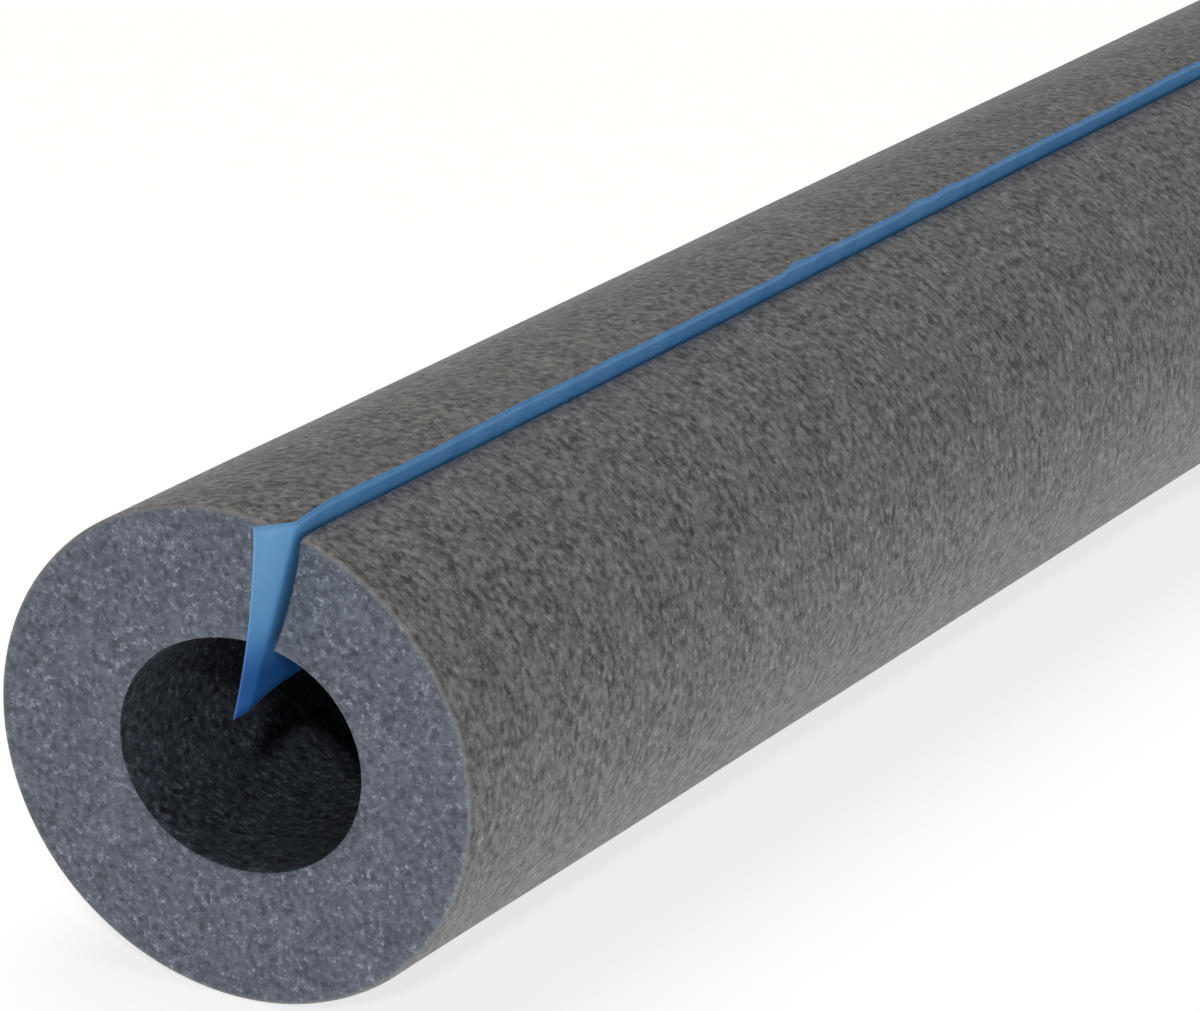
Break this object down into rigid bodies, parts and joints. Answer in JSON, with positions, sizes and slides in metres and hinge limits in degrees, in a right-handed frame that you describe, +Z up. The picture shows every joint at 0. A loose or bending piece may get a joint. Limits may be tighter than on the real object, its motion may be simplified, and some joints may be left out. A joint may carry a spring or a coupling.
{
  "type": "pipe insulation lagging",
  "caption": "Slit grey closed-cell foam tube that slips over a pipe, with a blue release film standing in the lengthwise slit.",
  "frame": {"origin": "middle of the tube's length, under its axis, on the floor it lies on", "axes": "+Z up, +Y along the tube to the end the picture doesn't show, +X to the side the slit leans to"},
  "size_m": [0.0376, 1.0056, 0.0351],
  "materials": {
    "foam": "closed-cell polyethylene foam, fine cells, matte",
    "film": "thin plastic film, satin gloss, slightly crinkled"
  },
  "bodies": {
    "root": {"foam_tube": "foam", "release_film": "film"}
  },
  "joints": []
}
